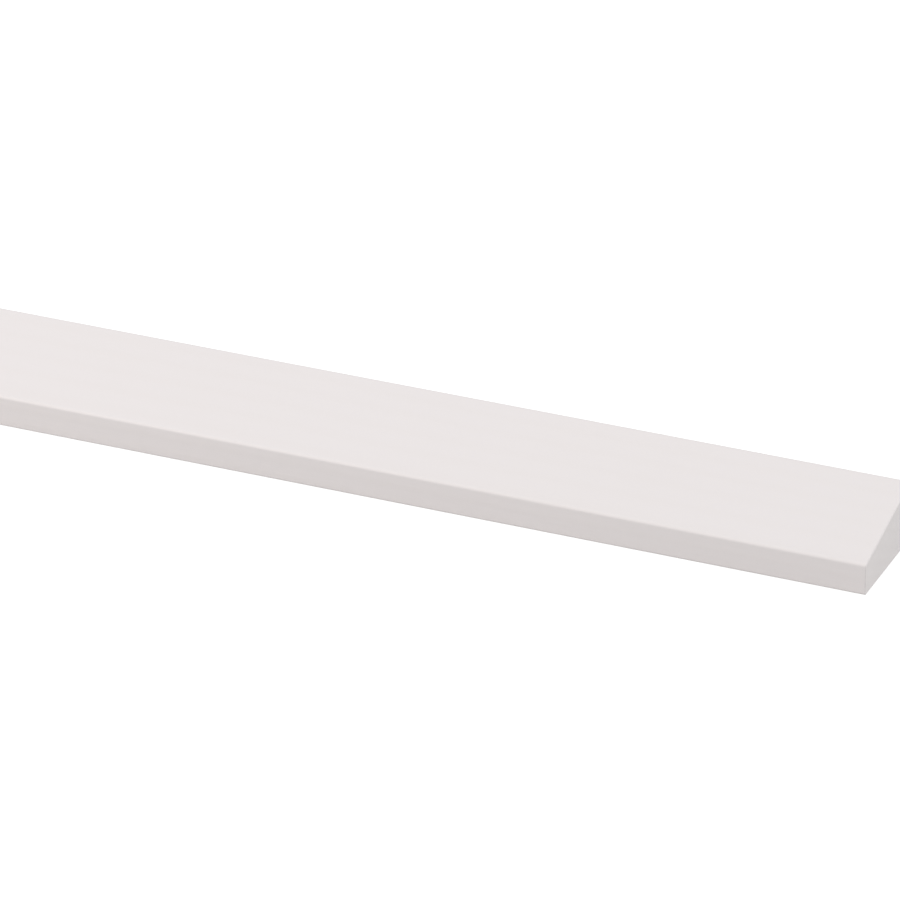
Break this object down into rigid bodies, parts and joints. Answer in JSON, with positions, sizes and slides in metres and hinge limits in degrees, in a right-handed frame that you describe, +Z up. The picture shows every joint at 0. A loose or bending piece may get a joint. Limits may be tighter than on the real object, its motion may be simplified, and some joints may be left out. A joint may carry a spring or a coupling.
{
  "type": "glazing bead",
  "caption": "Straight wedge-section bead that holds a pane in a window or door rebate: flat underside, tall back against the glass, sloping face and low nose.",
  "frame": {"origin": "middle of the underside, halfway along the bead and halfway across its width", "axes": "+X along the bead, +Y out of the tall back towards the glass, +Z up out of the underside that lies on the rebate"},
  "size_m": [0.18, 0.022, 0.0112],
  "materials": {
    "white_primer": "white factory primer, smooth with a low sheen, on every side and both ends"
  },
  "bodies": {
    "root": {"glazing_bead": "white_primer"}
  },
  "joints": []
}
